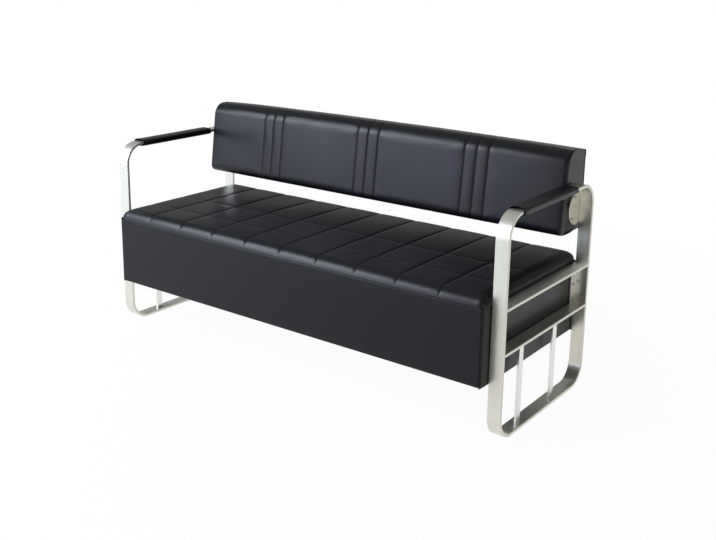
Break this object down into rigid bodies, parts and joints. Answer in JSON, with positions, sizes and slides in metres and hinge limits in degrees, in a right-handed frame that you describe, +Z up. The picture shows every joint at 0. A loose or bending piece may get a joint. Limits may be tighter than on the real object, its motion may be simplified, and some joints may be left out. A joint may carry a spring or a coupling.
{
  "type": "waiting room sofa",
  "caption": "Bench sofa with a quilted black upholstered seat box and channelled backrest held between closed brushed flat-bar steel end loops with sleeved arms.",
  "frame": {"origin": "on the floor, under the middle of the sofa's outer box", "axes": "+X along the bench to the right of someone facing the front, -Y towards the front, +Z up"},
  "size_m": [1.6604, 0.644, 0.806],
  "materials": {
    "steel": "brushed satin",
    "fastener": "satin",
    "insert": "satin",
    "leatherette": "satin grained",
    "plywood": "matte",
    "foam": "matte",
    "dust_cloth": "matte"
  },
  "bodies": {
    "root": {"left_loop": "steel", "right_loop": "steel", "left_upper_rail": "steel", "right_upper_rail": "steel", "left_lower_rail": "steel", "right_lower_rail": "steel", "left_front_slat": "steel", "right_front_slat": "steel", "left_rear_slat": "steel", "right_rear_slat": "steel", "left_front_seat_plate": "steel", "right_front_seat_plate": "steel", "left_rear_seat_plate": "steel", "right_rear_seat_plate": "steel", "left_back_flange": "steel", "right_back_flange": "steel", "left_seat_screws": "fastener", "right_seat_screws": "fastener", "left_flange_screws": "fastener", "right_flange_screws": "fastener", "left_arm_foam": "foam", "right_arm_foam": "foam", "left_arm_sleeve": "leatherette", "right_arm_sleeve": "leatherette", "left_seat_end_cover": "leatherette", "right_seat_end_cover": "leatherette", "left_seat_end_board": "plywood", "right_seat_end_board": "plywood", "left_back_end_cover": "leatherette", "right_back_end_cover": "leatherette", "left_back_end_board": "plywood", "right_back_end_board": "plywood", "left_back_stud": "plywood", "right_back_stud": "plywood", "seat_quilted_top": "leatherette", "seat_apron": "leatherette", "seat_rear_cover": "leatherette", "seat_dust_cover": "dust_cloth", "seat_front_board": "plywood", "seat_rear_board": "plywood", "seat_corner_blocks": "plywood", "seat_rib_1": "plywood", "seat_rib_2": "plywood", "seat_rib_3": "plywood", "seat_deck": "plywood", "seat_foam": "foam", "seat_inserts": "insert", "back_front_cover": "leatherette", "back_rear_cover": "leatherette", "back_top_rail": "plywood", "back_bottom_rail": "plywood", "back_panel": "plywood", "back_foam": "foam", "back_inserts": "insert"}
  },
  "joints": []
}
